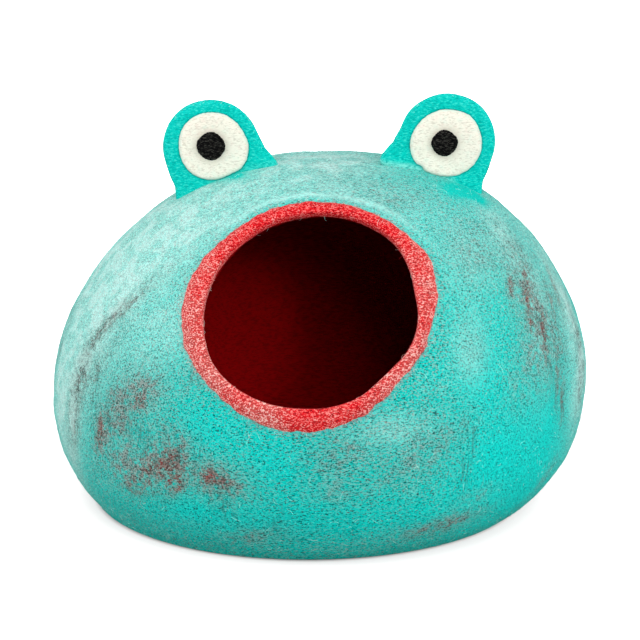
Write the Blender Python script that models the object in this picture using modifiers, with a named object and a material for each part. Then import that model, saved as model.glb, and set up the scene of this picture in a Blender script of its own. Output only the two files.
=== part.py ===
"""A felt cat cave with a frog's face, in metres, +Z up, its mouth towards -Y.

One seamless wool vessel stands on its flat base. A red felt binding wraps the cut edge of its
mouth. Two upright felt eye flaps stand on the dome, each with a white disc and a black pupil.
Left and right are as someone in front of the mouth sees them.
"""
from math import atan2, cos, exp, hypot, pi, radians, remainder, sin

import bmesh
import bpy
from mathutils import Matrix, Vector

# Driving dimensions
WALL = 0.008              # the vessel's felt
DEPTH_RATIO = 0.95        # front to back against side to side
SEAT = 0.0004             # between a piece and what it is felted to
FLAP_THICKNESS = 0.007
FLAP_HEAD = 0.0441        # radius of an eye flap's round head
FLAP_PLANE = -0.016       # y of the middle of the flaps
WHITE_THICKNESS = 0.0025
PUPIL_THICKNESS = 0.0022

# The vessel from its base's edge to its crown: how far its middle leans towards +X
PROFILE = (
    # height, radius, lean
    (0.0000, 0.1990, -0.0110),
    (0.0060, 0.2090, -0.0085),
    (0.0200, 0.2225, -0.0060),
    (0.0450, 0.2385, -0.0040),
    (0.0750, 0.2480, -0.0025),
    (0.1100, 0.2508, -0.0003),
    (0.1450, 0.2473, 0.0015),
    (0.1800, 0.2360, 0.0030),
    (0.2150, 0.2168, 0.0055),
    (0.2450, 0.1936, 0.0085),
    (0.2700, 0.1672, 0.0105),
    (0.2900, 0.1395, 0.0120),
    (0.3060, 0.1065, 0.0125),
    (0.3165, 0.0670, 0.0130),
    (0.3220, 0.0000, 0.0130),
)
BASE_RINGS = (0.0, 0.5)       # shares of the base's radius
BASE_EDGE_RUN = 0.02          # how flat the profile leaves the base
MERGE = 0.00001
AROUND = 56                   # steps round the vessel
STEPS_PER_ROW = 2             # steps up each stretch of the profile

# Soft hollows and swellings of the hand-felted wall
DENTS = (
    # angle (0 is +X, 270 the front), height, half width, half height, outward
    (333, 0.125, 0.032, 0.070, -0.0045),
    (305, 0.060, 0.070, 0.040, 0.0035),
    (233, 0.060, 0.080, 0.045, 0.0035),
    (208, 0.200, 0.050, 0.050, -0.0030),
    (150, 0.170, 0.070, 0.060, 0.0035),
    (110, 0.090, 0.080, 0.050, -0.0040),
    (75, 0.210, 0.080, 0.055, -0.0045),
    (40, 0.130, 0.070, 0.070, 0.0040),
    (20, 0.240, 0.050, 0.040, -0.0025),
)

# The mouth's middle, and the way it faces: turned a little to the left and tipped up
MOUTH = Vector((-0.0084, -0.1813, 0.2200))
MOUTH_TURN = radians(-4.3)
MOUTH_TILT = radians(36.9)
MOUTH_EDGE = (
    # angle round the mouth (0 is the right, 90 the top), opening's radius, binding's width
    (0, 0.0920, 0.0095),
    (15, 0.0915, 0.0170),
    (30, 0.0950, 0.0170),
    (46, 0.0985, 0.0100),
    (75, 0.0975, 0.0085),
    (105, 0.0945, 0.0110),
    (134, 0.0922, 0.0110),
    (164, 0.0915, 0.0160),
    (195, 0.0922, 0.0150),
    (212, 0.0928, 0.0105),
    (240, 0.0885, 0.0125),
    (266, 0.0853, 0.0150),
    (298, 0.0860, 0.0110),
    (322, 0.0850, 0.0085),
    (344, 0.0905, 0.0080),
)
MOUTH_STEPS = 48
BINDING_INSET = 0.0032        # how far the binding narrows the cut hole
CUT_OUT, CUT_IN = 0.060, -0.035   # how far the cut reaches along the mouth's axis
HALVINGS = 18                 # to find the form along a line
SLOPE_STEP = 0.004            # over which the form's slope is read

# The brow: a soft ridge over the binding's upper edge and the hollow behind it
BROW = (
    # distance from the binding's edge, half width, outward
    (0.010, 0.012, 0.0040),
    (0.042, 0.018, -0.0030),
)

# The binding's cross-section, round the cut edge and along both faces of the wall
BINDING_SECTION = (
    # share of the width, further inward, wall face (0 outer, 1 inner), lift off that face
    (1.00, 0.0000, 0, 0.0006),
    (1.00, -0.0006, 0, 0.0018),
    (0.88, 0.0000, 0, 0.0030),
    (0.50, 0.0000, 0, 0.0036),
    (0.10, 0.0000, 0, 0.0032),
    (0.00, 0.0020, 0, 0.0014),
    (0.00, 0.0032, 0, -0.0020),
    (0.00, 0.0032, 1, 0.0006),
    (0.00, 0.0020, 1, -0.0032),
    (0.00, -0.0030, 1, -0.0040),
    (0.00, -0.0085, 1, -0.0034),
    (0.00, -0.0092, 1, -0.0020),
    (0.00, -0.0085, 1, -0.0011),
    (0.00, 0.0004, 1, -0.0011),
    (0.00, 0.0004, 0, 0.0006),
)

# An eye flap's outline round its head's middle, the left one's; the right one mirrors it
FLAP_OUTLINE = (
    # angle (0 is +X, 90 up), radius against the head's
    (0, 1.125),
    (16, 1.020),
    (34, 1.010),
    (90, 1.000),
    (135, 1.005),
    (180, 1.000),
    (207, 1.015),
    (227, 1.120),
    (235, 1.290),
    (240, 1.470),
    (250, 1.360),
    (262, 1.130),
    (315, 1.050),
    (333, 1.290),
    (340, 1.450),
    (346, 1.430),
    (352, 1.285),
)
WHITE_OUTLINE = (
    # angle, radius against the disc's
    (0, 1.015),
    (50, 0.985),
    (95, 1.010),
    (150, 0.990),
    (185, 1.010),
    (225, 0.970),
    (275, 1.005),
    (320, 0.995),
)
PUPIL_OUTLINE = (
    # angle, radius against the pupil's
    (0, 1.02),
    (40, 0.97),
    (85, 1.03),
    (130, 0.98),
    (170, 1.02),
    (230, 0.97),
    (275, 1.02),
    (320, 0.98),
)
EYES = (
    # side, outline's mirror, flap's x and z, white's x, z and radius, pupil's x, z and radius
    ("left", 1, -0.0999, 0.3345, -0.0970, 0.3360, 0.0312, -0.0995, 0.3354, 0.0127),
    ("right", -1, 0.1163, 0.3400, 0.1154, 0.3395, 0.0320, 0.1140, 0.3381, 0.0119),
)

# Half sections of the flat pieces: share of the outline, share of the thickness
FLAP_SECTION = ((0.0, -0.5), (0.45, -0.5), (0.84, -0.5), (0.94, -0.42), (1.0, -0.12),
                (1.0, 0.12), (0.94, 0.42), (0.84, 0.5), (0.45, 0.5), (0.0, 0.5))
DISC_SECTION = ((0.0, -1.0), (0.6, -0.95), (0.9, -0.72), (1.0, -0.3), (0.97, 0.0), (0.0, 0.0))
FOOT_SPREAD = 0.6             # how much thicker a flap's edge is where it meets the dome
FOOT_REACH = 0.014            # how high above the dome that spread fades
FOOT_SEARCH = 0.001           # steps down to the dome
RIM_FROM = 0.90               # the share of the outline where a flat piece's rim starts

COLOURS = {
    # linear base colour and roughness
    "turquoise": ((0.020, 0.560, 0.510), 0.95),
    "vivid turquoise": ((0.005, 0.600, 0.540), 0.95),
    "red": ((0.600, 0.020, 0.030), 0.95),
    "off white": ((0.860, 0.830, 0.740), 0.95),
    "black": ((0.010, 0.010, 0.012), 0.90),
}


def catmull(before, start, end, after, share):
    """A number on the smooth curve that runs from start to end."""
    return 0.5 * (2 * start + (end - before) * share
                  + (2 * before - 5 * start + 4 * end - after) * share ** 2
                  + (3 * start - before - 3 * end + after) * share ** 3)


def read_round(rows, angle, column):
    """A column of a table of angles in degrees, read smoothly at an angle in radians."""
    degrees = angle * 180 / pi % 360
    count = len(rows)
    index = max(i for i in range(count) if rows[i][0] <= degrees)
    start = rows[index]
    end = rows[(index + 1) % count]
    span = (end[0] - start[0]) % 360
    share = (degrees - start[0]) / span
    return catmull(rows[index - 1][column], start[column], end[column],
                   rows[(index + 2) % count][column], share)


def smooth_profile(steps):
    """The profile with steps to each stretch: rows of height, radius and lean."""
    first, last = PROFILE[0], PROFILE[-1]
    flat = (first[0], 2 * first[1] - PROFILE[1][1] - BASE_EDGE_RUN, first[2])
    mirrored = (PROFILE[-2][0], -PROFILE[-2][1], last[2])
    rows = (flat,) + PROFILE + (mirrored,)
    smooth = []
    for i in range(1, len(rows) - 2):
        for step in range(steps):
            smooth.append(tuple(catmull(*(row[c] for row in rows[i - 1:i + 3]), step / steps)
                                for c in range(3)))
    return smooth + [last]


FINE_PROFILE = smooth_profile(12)     # for reading between the rows


def read_profile(height):
    """Radius and lean at a height."""
    height = min(max(height, 0.0), FINE_PROFILE[-1][0])
    for low, high in zip(FINE_PROFILE, FINE_PROFILE[1:]):
        if height <= high[0] and high[0] > low[0]:
            share = max(0.0, (height - low[0]) / (high[0] - low[0]))
            return (low[1] + (high[1] - low[1]) * share, low[2] + (high[2] - low[2]) * share)
    return FINE_PROFILE[-1][1:]


def mouth_frame():
    """The mouth's own axes: its right, its upward chord, and the way it faces."""
    turn = Matrix.Rotation(MOUTH_TURN, 4, "Z")
    tip = Matrix.Rotation(pi / 2 - MOUTH_TILT, 4, "X")
    return Matrix.Translation(MOUTH) @ turn @ tip


MOUTH_FRAME = mouth_frame()
MOUTH_INVERSE = MOUTH_FRAME.inverted()
MOUTH_AXIS = MOUTH_FRAME.to_3x3() @ Vector((0, 0, 1))


def brow(point):
    """How far the ridge and the hollow above the mouth move a point outward."""
    local = MOUTH_INVERSE @ point
    angle = atan2(local.y, local.x)
    upper = max(0.0, sin(angle))
    edge = read_round(MOUTH_EDGE, angle, 1) + read_round(MOUTH_EDGE, angle, 2)
    away = hypot(local.x, local.y) - edge
    return upper * sum(out * exp(-((away - middle) / width) ** 2) for middle, width, out in BROW)


def form_radius(height, angle):
    """The outer form's radius, with its dents and its brow."""
    radius, lean = read_profile(height)
    dents = 0.0
    for place, level, width, tall, out in DENTS:
        across = remainder(angle - radians(place), 2 * pi) * radius
        dents += out * exp(-(across / width) ** 2 - ((height - level) / tall) ** 2)
    if sin(angle) > 0:
        return radius + dents
    point = Vector((lean + radius * cos(angle), DEPTH_RATIO * radius * sin(angle), height))
    return radius + dents + brow(point)


def inside_form(point):
    """Whether a point lies within the outer form."""
    if not 0.0 < point.z < PROFILE[-1][0]:
        return False
    lean = read_profile(point.z)[1]
    x, y = point.x - lean, point.y / DEPTH_RATIO
    return hypot(x, y) < form_radius(point.z, atan2(y, x))


def form_point(angle, radius):
    """Where a line along the mouth's axis meets the outer form."""
    foot = MOUTH_FRAME @ Vector((radius * cos(angle), radius * sin(angle), 0))
    outer, inner = CUT_OUT, CUT_IN
    for _ in range(HALVINGS):
        middle = (outer + inner) / 2
        if inside_form(foot + MOUTH_AXIS * middle):
            inner = middle
        else:
            outer = middle
    return foot + MOUTH_AXIS * inner


def wall_along_axis(angle, radius):
    """The wall's thickness there, measured along the mouth's axis."""
    here = form_point(angle, radius)
    outward = form_point(angle, radius + SLOPE_STEP) - here
    around = form_point(angle + SLOPE_STEP / radius, radius) - here
    normal = outward.cross(around).normalized()
    return WALL / abs(normal.dot(MOUTH_AXIS))


def felt(name):
    """A felt material from the table of colours."""
    colour, roughness = COLOURS[name]
    material = bpy.data.materials.new(name)
    material.use_nodes = True
    shader = material.node_tree.nodes["Principled BSDF"]
    shader.inputs["Base Color"].default_value = (*colour, 1)
    shader.inputs["Roughness"].default_value = roughness
    shader.inputs["Metallic"].default_value = 0.0
    material.diffuse_color = (*colour, 1)
    return material


def add_object(name, bm, collection, material=None):
    """Close a bmesh into an object of a collection, its faces pointing out."""
    bmesh.ops.remove_doubles(bm, verts=bm.verts, dist=MERGE)
    bmesh.ops.recalc_face_normals(bm, faces=bm.faces)
    mesh = bpy.data.meshes.new(name)
    bm.to_mesh(mesh)
    bm.free()
    mesh.shade_smooth()
    if material:
        mesh.materials.append(material)
    obj = bpy.data.objects.new(name, mesh)
    collection.objects.link(obj)
    return obj


def cut(obj, cutter):
    """Take a closed cutter's solid out of an object."""
    cutting = obj.modifiers.new("cut", "BOOLEAN")
    cutting.operation = "DIFFERENCE"
    cutting.solver = "EXACT"
    cutting.object = cutter


def turned(section, steps, axis):
    """Turn points of (out, 0, along) round the z axis, or of (out, along, 0) round the y axis."""
    bm = bmesh.new()
    verts = [bm.verts.new((out, 0, along) if axis == "z" else (out, along, 0))
             for out, along in section]
    edges = [bm.edges.new(pair) for pair in zip(verts, verts[1:])]
    bmesh.ops.spin(bm, geom=verts + edges, cent=(0, 0, 0), axis=(0, 0, 1) if axis == "z"
                   else (0, 1, 0), angle=2 * pi, steps=steps, use_merge=True)
    bmesh.ops.remove_doubles(bm, verts=bm.verts, dist=MERGE)
    return bm


def vessel_skin(name, collection, material=None, grow=0.0):
    """The vessel's whole outer surface, turned and then shaped, and grown outward."""
    base = PROFILE[0][1]
    section = [(share * base, 0.0) for share in BASE_RINGS]
    section += [(radius, height) for height, radius, lean in smooth_profile(STEPS_PER_ROW)]
    bm = turned(section, AROUND, "z")
    for vert in bm.verts:
        radius, lean = read_profile(vert.co.z)
        share = hypot(vert.co.x, vert.co.y) / radius if radius else 0.0
        angle = atan2(vert.co.y, vert.co.x)
        shaped = share * form_radius(vert.co.z, angle)
        vert.co.x = lean + shaped * cos(angle)
        vert.co.y = DEPTH_RATIO * shaped * sin(angle)
    if grow:
        bmesh.ops.recalc_face_normals(bm, faces=bm.faces)
        bm.normal_update()
        for vert, normal in [(vert, vert.normal.copy()) for vert in bm.verts]:
            vert.co += normal * grow
    return add_object(name, bm, collection, material)


def mouth_cutter(collection):
    """A prism of the hole's outline along the mouth's axis."""
    bm = bmesh.new()
    ring = bmesh.ops.create_circle(bm, cap_ends=True, radius=1, segments=MOUTH_STEPS)["verts"]
    for vert in ring:
        angle = atan2(vert.co.y, vert.co.x)
        vert.co *= read_round(MOUTH_EDGE, angle, 1) + BINDING_INSET
        vert.co.z = CUT_IN
    far = bmesh.ops.extrude_face_region(bm, geom=bm.faces[:])["geom"]
    bmesh.ops.translate(bm, vec=(0, 0, CUT_OUT - CUT_IN),
                        verts=[part for part in far if isinstance(part, bmesh.types.BMVert)])
    bmesh.ops.transform(bm, matrix=MOUTH_FRAME, verts=bm.verts)
    cutter = add_object("mouth_cutter", bm, collection)
    hide_cutter(cutter)
    return cutter


def hide_cutter(cutter):
    """Show a cutter as wire only."""
    cutter.hide_render = True
    cutter.display_type = "WIRE"


def cave_shell(parts, cutters):
    """One seamless felt vessel, its wall inside its outer form, its mouth cut out."""
    shell = vessel_skin("cave_shell", parts, felt("turquoise"))
    wall = shell.modifiers.new("wall", "SOLIDIFY")
    wall.thickness = WALL
    wall.offset = -1
    wall.use_even_offset = True
    cut(shell, mouth_cutter(cutters))


def mouth_binding(parts):
    """A red felt band folded round the mouth's cut edge, wider and narrower by hand."""
    bm = bmesh.new()
    rings = []
    for step in range(MOUTH_STEPS):
        angle = 2 * pi * step / MOUTH_STEPS
        edge = read_round(MOUTH_EDGE, angle, 1) + BINDING_INSET
        width = read_round(MOUTH_EDGE, angle, 2)
        ring = []
        for share, inward, face, lift in BINDING_SECTION:
            radius = edge + share * width - inward
            depth = wall_along_axis(angle, radius) if face else 0.0
            ring.append(bm.verts.new(form_point(angle, radius) + MOUTH_AXIS * (lift - depth)))
        rings.append(ring)
    for ring, following in zip(rings, rings[1:] + rings[:1]):
        count = len(ring)
        for i in range(count):
            j = (i + 1) % count
            bm.faces.new((ring[i], ring[j], following[j], following[i]))
    add_object("mouth_binding", bm, parts, felt("red"))


def flat_piece(section, steps, outline, mirror, middle, radius, thickness):
    """A turned disc whose points are moved out to an outline, facing -Y, and its rim's points."""
    bm = turned([(out, along * thickness) for out, along in section], steps, "y")
    rim = [vert for vert in bm.verts if hypot(vert.co.x, vert.co.z) > RIM_FROM]
    for vert in bm.verts:
        share = hypot(vert.co.x, vert.co.z)
        angle = atan2(vert.co.z, vert.co.x)
        reach = share * radius * read_round(outline, angle if mirror > 0 else pi - angle, 1)
        vert.co.x = reach * cos(angle)
        vert.co.z = reach * sin(angle)
    bmesh.ops.translate(bm, vec=middle, verts=bm.verts)
    return bm, rim


def eye(parts, dome, row):
    """A flap and its white disc, cut to the dome under them, and the pupil on the disc."""
    side, mirror, flap_x, flap_z, white_x, white_z, white_radius = row[:7]
    pupil_x, pupil_z, pupil_radius = row[7:]
    flap, rim = flat_piece(FLAP_SECTION, 48, FLAP_OUTLINE, mirror,
                           (flap_x, FLAP_PLANE, flap_z), FLAP_HEAD, FLAP_THICKNESS)
    for vert in rim:
        spread_foot(vert)
    cut(add_object("eye_flap_" + side, flap, parts, felt("vivid turquoise")), dome)
    front = FLAP_PLANE - FLAP_THICKNESS / 2 - SEAT
    white = flat_piece(DISC_SECTION, 36, WHITE_OUTLINE, mirror, (white_x, front, white_z),
                       white_radius, WHITE_THICKNESS)[0]
    cut(add_object("eye_white_" + side, white, parts, felt("off white")), dome)
    front -= WHITE_THICKNESS + SEAT
    pupil = flat_piece(DISC_SECTION, 24, PUPIL_OUTLINE, mirror, (pupil_x, front, pupil_z),
                       pupil_radius, PUPIL_THICKNESS)[0]
    add_object("pupil_" + side, pupil, parts, felt("black"))


def spread_foot(vert):
    """Move a point of a flap's rim away from its plane near the dome."""
    height = vert.co.z
    while height > 0 and not inside_form(Vector((vert.co.x, vert.co.y, height))):
        height -= FOOT_SEARCH
    above = vert.co.z - height
    spread = FOOT_SPREAD * exp(-(above / FOOT_REACH) ** 2)
    vert.co.y = FLAP_PLANE + (vert.co.y - FLAP_PLANE) * (1 + spread)


def new_collection(name):
    """A collection linked to the scene."""
    collection = bpy.data.collections.new(name)
    bpy.context.scene.collection.children.link(collection)
    return collection


for old in list(bpy.data.objects):
    bpy.data.objects.remove(old, do_unlink=True)
parts_collection = new_collection("felt_cat_cave")
cutters_collection = new_collection("cutters")
cave_shell(parts_collection, cutters_collection)
mouth_binding(parts_collection)
dome_cutter = vessel_skin("dome_cutter", cutters_collection, grow=SEAT)
hide_cutter(dome_cutter)
for eye_row in EYES:
    eye(parts_collection, dome_cutter, eye_row)
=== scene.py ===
"""The felt cat cave dressed: wet-felted vessel, red mouth binding, felt eyes, loose fibres."""
import random
from math import atan2, cos, exp, hypot, pi, radians, remainder, sin

import bmesh
import bpy
from mathutils import Matrix, Vector, noise
from mathutils.bvhtree import BVHTree


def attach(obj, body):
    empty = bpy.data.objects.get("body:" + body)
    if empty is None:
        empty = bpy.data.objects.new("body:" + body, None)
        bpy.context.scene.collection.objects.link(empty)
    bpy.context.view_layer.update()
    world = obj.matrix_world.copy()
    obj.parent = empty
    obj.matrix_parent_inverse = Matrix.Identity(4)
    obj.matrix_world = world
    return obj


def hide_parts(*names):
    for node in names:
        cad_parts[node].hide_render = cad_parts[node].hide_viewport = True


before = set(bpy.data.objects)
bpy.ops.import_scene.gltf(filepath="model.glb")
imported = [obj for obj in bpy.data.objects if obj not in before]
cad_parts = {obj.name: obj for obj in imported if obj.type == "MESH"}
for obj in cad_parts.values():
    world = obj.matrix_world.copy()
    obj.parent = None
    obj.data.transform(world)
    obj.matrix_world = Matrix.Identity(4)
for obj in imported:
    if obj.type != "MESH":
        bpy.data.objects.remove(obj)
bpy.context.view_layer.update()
scene = bpy.context.scene

# ---------------------------------------------------------------- the vessel
# One seamless pouch of carded wool, laid in layers round a resist, soaped, rolled and shrunk
# into an 8 mm wall, then blocked to a round belly. Turquoise outside and red inside.

WALL = 0.008
DEPTH_RATIO = 0.95        # front to back against side to side
MERGE = 0.00001           # doubles are merged within this

# From the base's edge to the crown: how far the vessel's middle leans towards +X
PROFILE = (
    # height, radius, lean
    (0.0000, 0.1990, -0.0110),
    (0.0060, 0.2090, -0.0085),
    (0.0200, 0.2225, -0.0060),
    (0.0450, 0.2385, -0.0040),
    (0.0750, 0.2480, -0.0025),
    (0.1100, 0.2508, -0.0003),
    (0.1450, 0.2473, 0.0015),
    (0.1800, 0.2360, 0.0030),
    (0.2150, 0.2168, 0.0055),
    (0.2450, 0.1936, 0.0085),
    (0.2700, 0.1672, 0.0105),
    (0.2900, 0.1395, 0.0120),
    (0.3060, 0.1065, 0.0125),
    (0.3165, 0.0670, 0.0130),
    (0.3220, 0.0000, 0.0130),
)
BASE_EDGE_RUN = 0.02      # how flat the profile leaves the base
BASE_RINGS = tuple(i / 20 for i in range(20))
PROFILE_STEPS = 8
AROUND = 376
BELLY = 0.12              # under this height the wall's slope counts as upright
QUIET = 0.012             # the base's edge is kept smooth up to here

# Soft hollows and swellings, and the brow over the mouth
DENTS = (
    # angle (0 is +X, 270 the front), height, half width, half height, outward
    (333, 0.125, 0.032, 0.070, -0.0045),
    (305, 0.060, 0.070, 0.040, 0.0035),
    (233, 0.060, 0.080, 0.045, 0.0035),
    (208, 0.200, 0.050, 0.050, -0.0030),
    (150, 0.170, 0.070, 0.060, 0.0035),
    (110, 0.090, 0.080, 0.050, -0.0040),
    (75, 0.210, 0.080, 0.055, -0.0045),
    (40, 0.130, 0.070, 0.070, 0.0040),
    (20, 0.240, 0.050, 0.040, -0.0025),
)
BROW = (
    # distance from the binding's edge, half width, outward
    (0.010, 0.012, 0.0040),
    (0.042, 0.018, -0.0030),
)

# The mouth: its middle, the way it faces, and its edge
MOUTH = Vector((-0.0084, -0.1813, 0.2200))
MOUTH_TURN = radians(-4.3)
MOUTH_TILT = radians(36.9)
MOUTH_EDGE = (
    # angle round the mouth (0 is the right, 90 the top), opening's radius, binding's width
    (0, 0.0920, 0.0095),
    (15, 0.0915, 0.0170),
    (30, 0.0950, 0.0170),
    (46, 0.0985, 0.0100),
    (75, 0.0975, 0.0085),
    (105, 0.0945, 0.0110),
    (134, 0.0922, 0.0110),
    (164, 0.0915, 0.0160),
    (195, 0.0922, 0.0150),
    (212, 0.0928, 0.0105),
    (240, 0.0885, 0.0125),
    (266, 0.0853, 0.0150),
    (298, 0.0860, 0.0110),
    (322, 0.0850, 0.0085),
    (344, 0.0905, 0.0080),
)
BINDING_INSET = 0.0032    # how far the binding narrows the cut hole
MOUTH_FRAME = (Matrix.Translation(MOUTH) @ Matrix.Rotation(MOUTH_TURN, 4, "Z")
               @ Matrix.Rotation(pi / 2 - MOUTH_TILT, 4, "X"))
MOUTH_INVERSE = MOUTH_FRAME.inverted()
MOUTH_AXIS = MOUTH_FRAME.to_3x3() @ Vector((0, 0, 1))
MOUTH_BACK = -0.06        # nothing that lies further behind the mouth's middle belongs to it
SKIN_RANGE = (-0.035, 0.060)  # how far along the axis the form can lie round the mouth
BINDING_WAVER = (
    # waves round the mouth, seed, height: the binding was torn by hand
    (9, 2.0, 0.0016),
    (26, 5.0, 0.0008),
)
BLUSH_WIDTH = 0.0035      # how far red crept out of the binding
RIDGE_HIGHLIGHT = (0.0135, 0.0028)  # the painted highlight along the brow's ridge: its distance above the binding, half its width
SHADED_BAND = (0.004, 0.005)     # the same of the deeper turquoise painted under it, the highlight's shaded side

# Wool of other colours that was laid or worked into the turquoise: rust and brown-grey from
# the lining, pale where it is undyed, richer turquoise in patches, mostly low on the belly.
# The pale patches on the top and the left side are also painted sheen, paler where light falls
RUST = (
    # angle, height, half length and half width in mm, turn from level, amount
    (239.5, 86, 22, 12, 80, 0.7), (235, 87, 10, 5, 20, 0.8), (238.5, 93, 8, 5, 60, 0.85),
    (241.7, 79, 9, 6, 70, 0.75), (251, 83, 22, 7, -18, 0.5), (248.1, 87, 8, 6, 30, 0.9),
    (219.8, 106, 20, 4.5, 80, 0.9), (230.8, 144, 8, 5, 20, 0.8), (231, 64, 18, 10, 20, 0.5),
    (209, 95, 22, 5, 80, 0.25), (217, 215, 12, 4, 50, 0.35), (212, 197, 20, 5, 55, 0.35),
    (321.5, 230, 14, 4, 50, 0.7), (325, 211, 18, 4.5, 58, 1), (327.5, 187, 18, 4, 68, 1),
    (330, 147, 20, 4.5, 76, 0.75), (333, 116, 18, 5.5, 80, 0.7), (329.5, 232, 8, 4, 50, 0.6),
    (343, 212, 26, 6, 60, 0.5), (337, 205, 16, 6, 60, 0.45), (299, 34, 30, 8, 10, 0.35),
    (150, 210, 60, 14, 50, 0.5), (120, 80, 50, 14, 20, 0.55), (60, 70, 40, 12, 15, 0.5),
)
GREY = (
    (230, 150, 26, 18, 30, 0.95), (226.5, 126, 28, 13, 80, 0.8), (239, 100, 26, 20, 75, 1),
    (229, 90, 18, 14, 20, 0.55), (221, 112, 40, 14, 75, 0.8), (231, 80, 30, 14, 20, 0.9),
    (250, 85, 30, 18, -10, 0.7), (208.5, 148, 36, 12, 80, 0.8), (216, 160, 40, 14, 72, 0.45),
    (208, 90, 50, 18, 75, 0.3), (245, 40, 60, 8, 8, 0.12), (257, 30, 30, 10, 10, 0.5),
    (214, 205, 40, 9, 52, 0.5), (244, 177, 18, 10, 60, 0.45), (273, 112, 24, 16, 10, 0.55),
    (274, 78, 22, 12, 0, 0.35), (290, 105, 36, 22, 20, 0.45), (293, 148, 14, 14, 0, 0.12),
    (304, 60, 24, 8, 10, 0.4), (298, 34, 44, 10, 8, 0.6), (299, 129, 26, 10, 10, 0.2),
    (314, 155, 30, 14, 70, 0.3), (304, 190, 22, 16, 70, 0.2), (327, 205, 60, 24, 65, 0.95),
    (333, 158, 44, 14, 75, 0.48), (330, 50, 30, 12, 40, 0.35), (346, 160, 50, 14, 80, 0.6),
    (342, 120, 30, 12, 80, 0.4), (316, 262, 30, 18, 20, 0.45), (302, 303, 36, 8, 0, 0.36),
    (280, 312, 40, 12, 0, 0.15), (180, 120, 70, 22, 70, 0.5), (150, 200, 80, 28, 50, 0.6),
    (120, 80, 80, 24, 20, 0.65), (85, 160, 60, 26, 60, 0.55), (60, 70, 70, 22, 15, 0.6),
    (25, 190, 60, 20, 60, 0.5), (5, 80, 60, 18, 70, 0.5),
)
# the pale patches: undyed wool, and painted sheen on the top and the left side
PALE_WOOL_AND_SHEEN = (
    (203, 196, 100, 62, 61, 0.9), (181, 238, 75, 50, 40, 0.6), (205, 235, 70, 30, 40, 0.4),
    (206, 88, 50, 20, 80, 0.8), (215, 262, 90, 30, 25, 0.3), (200, 130, 80, 45, 80, 0.75),
    (250, 318, 100, 50, 0, 0.1), (312, 262, 45, 30, 40, 0.32), (232, 205, 50, 34, 40, 0.45),
    (333, 268, 40, 16, 40, 0.5), (330, 215, 70, 22, 65, 0.4), (347, 200, 100, 30, 70, 0.75),
    (345, 125, 60, 26, 80, 0.6), (303, 188, 26, 18, 70, 0.4), (284, 132, 34, 14, 0, 0.35),
    (280, 296, 60, 22, 0, 0.45), (180, 255, 110, 45, 20, 0.35), (140, 290, 120, 40, 10, 0.6),
    (95, 230, 100, 60, 40, 0.35), (60, 280, 100, 40, 20, 0.55), (20, 250, 80, 40, 40, 0.45),
)
RICH = (
    (316, 100, 90, 50, 20, 1), (305, 170, 50, 30, 60, 0.6), (267, 70, 60, 30, 0, 0.5),
    (261, 108, 30, 22, 0, 0.8), (251, 130, 30, 22, 60, 0.6), (315, 85, 50, 35, 20, 0.6),
    (250, 42, 80, 22, 0, 0.9), (241.5, 60, 24, 12, 0, 0.75), (243.5, 126, 24, 18, 70, 0.75),
    (330, 125, 30, 18, 75, 0.5), (287, 50, 80, 22, 0, 0.55), (320, 40, 60, 20, 20, 0.7),
    (332, 70, 40, 40, 60, 0.6), (0, 100, 80, 60, 40, 0.6), (90, 110, 100, 50, 20, 0.5),
    (160, 80, 90, 40, 30, 0.5),
)
VIVID = (
    # the flaps' own wool, laid on past their feet
    (345, 294.5, 11, 7.5, 0, 1), (340, 298.5, 14, 5.5, 0, 1), (333, 300.5, 14, 5, 0, 0.7),
    (341, 288.5, 9, 5, 20, 0.5), (198, 310.5, 16, 3, 0, 0.75), (193, 304.5, 12, 3.5, 20, 0.4),
)

# Soft folds from blocking the wet vessel, each a shallow bed of fine creases between two places;
# in the material their lines are also painted dark as shade
CREASES = (
    # angle and height of one end, of the other end, half width, depth, all in mm
    (227, 150, 229, 98, 5.1, 1), (231, 132, 233, 88, 4.6, 1.3), (234, 125, 236, 80, 5.1, 1.4),
    (237.5, 135, 239, 84, 4.6, 1.1), (241, 130, 242, 86, 4.6, 1.3),
    (245, 126, 246, 92, 4.6, 0.9), (221, 145, 224, 90, 5.3, 0.9), (215, 165, 218, 95, 5.5, 0.9),
    (209, 180, 211, 80, 6, 0.9), (217, 220, 206, 165, 5.1, 1), (301, 140, 300, 60, 6, 0.7),
    (322, 235, 333, 150, 6, 1.4), (331, 160, 335, 80, 6, 1.4), (326, 190, 328, 110, 6, 0.9),
    (262, 70, 263, 30, 6, 0.7), (249, 80, 254, 35, 7, 0.4), (190, 190, 186, 80, 6.5, 1.1),
    (160, 160, 164, 60, 6.5, 1.1), (120, 200, 116, 90, 6.5, 1.1), (70, 150, 74, 60, 6.5, 1.1),
    (30, 200, 26, 90, 6.5, 1.1),
)
CREASE_REACH = (0.08, 0.14)   # no crease reaches past this, across and up
LUMPS_SEED = Vector((3.1, 1.7, 0.4))
LUMPS = (
    # wavelength and height of the hand-rubbed unevenness
    (0.060, 0.0011),
    (0.024, 0.0006),
    (0.011, 0.0003),
)


def catmull(before, start, end, after, share):
    """A number on the smooth curve that runs from start to end."""
    return 0.5 * (2 * start + (end - before) * share
                  + (2 * before - 5 * start + 4 * end - after) * share ** 2
                  + (3 * start - before - 3 * end + after) * share ** 3)


def read_round(rows, angle, column):
    """A column of a table of angles in degrees, read smoothly at an angle in radians."""
    degrees = angle * 180 / pi % 360
    count = len(rows)
    index = max(i for i in range(count) if rows[i][0] <= degrees)
    start, end = rows[index], rows[(index + 1) % count]
    share = (degrees - start[0]) / ((end[0] - start[0]) % 360)
    return catmull(rows[index - 1][column], start[column], end[column],
                   rows[(index + 2) % count][column], share)


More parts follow.
